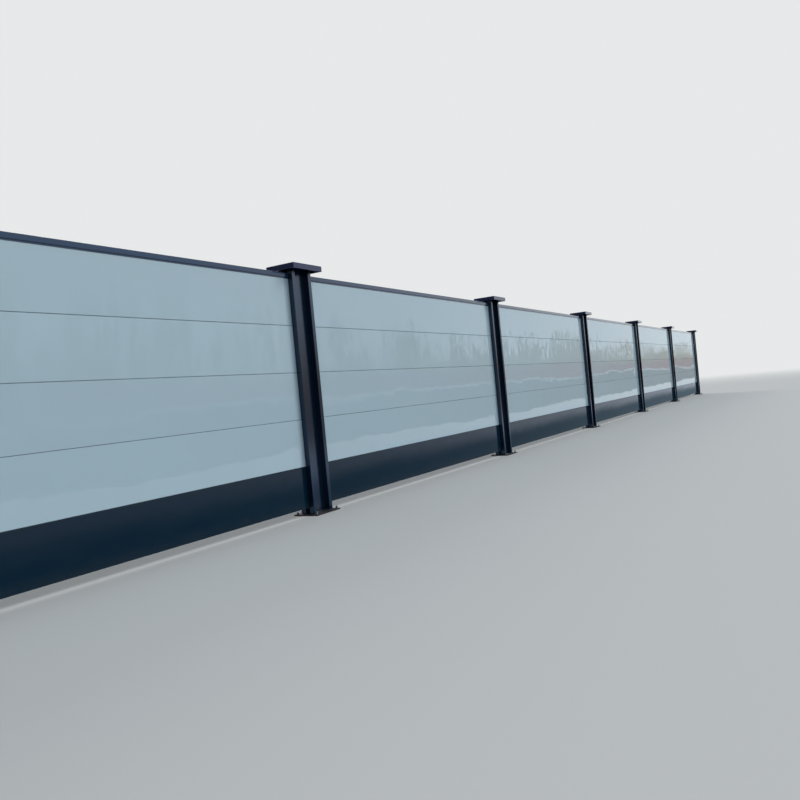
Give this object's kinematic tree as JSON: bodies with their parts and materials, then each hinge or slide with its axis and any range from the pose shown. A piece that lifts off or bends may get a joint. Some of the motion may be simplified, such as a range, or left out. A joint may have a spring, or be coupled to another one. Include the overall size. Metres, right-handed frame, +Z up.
{
  "type": "construction hoarding",
  "caption": "Straight run of steel site hoarding: folded posts with flat caps and base plates, glossy white boards over a dark base board, and a dark top rail.",
  "frame": {"origin": "centre of the underside of the middle post's base plate, on the ground", "axes": "+X along the fence, +Y across it towards the back, +Z up"},
  "size_m": [30.466, 0.344, 2.5],
  "materials": {
    "post_coat": "semi-gloss blue-black powder coat on folded steel",
    "cap_coat": "semi-gloss dark violet-blue powder coat",
    "plate_coat": "dark primer with dust and rusty edges",
    "rail_coat": "semi-gloss dark blue powder coat",
    "white_enamel": "gloss off-white coil coat on steel-skinned sandwich board",
    "dark_enamel": "gloss blue-black coil coat on steel-skinned sandwich board",
    "zinc_plate": "dull zinc plate on anchors, nuts and screws"
  },
  "bodies": {
    "root": {"post_1": "post_coat", "post_2": "post_coat", "post_3": "post_coat", "post_4": "post_coat", "post_5": "post_coat", "post_6": "post_coat", "post_7": "post_coat", "post_cap_1": "cap_coat", "post_cap_2": "cap_coat", "post_cap_3": "cap_coat", "post_cap_4": "cap_coat", "post_cap_5": "cap_coat", "post_cap_6": "cap_coat", "post_cap_7": "cap_coat", "base_plate_1": "plate_coat", "base_plate_2": "plate_coat", "base_plate_3": "plate_coat", "base_plate_4": "plate_coat", "base_plate_5": "plate_coat", "base_plate_6": "plate_coat", "base_plate_7": "plate_coat", "top_rail_1": "rail_coat", "top_rail_2": "rail_coat", "top_rail_3": "rail_coat", "top_rail_4": "rail_coat", "top_rail_5": "rail_coat", "top_rail_6": "rail_coat", "white_boards_1": "white_enamel", "white_boards_2": "white_enamel", "white_boards_3": "white_enamel", "white_boards_4": "white_enamel", "white_boards_5": "white_enamel", "white_boards_6": "white_enamel", "base_board_1": "dark_enamel", "base_board_2": "dark_enamel", "base_board_3": "dark_enamel", "base_board_4": "dark_enamel", "base_board_5": "dark_enamel", "base_board_6": "dark_enamel"}
  },
  "joints": []
}
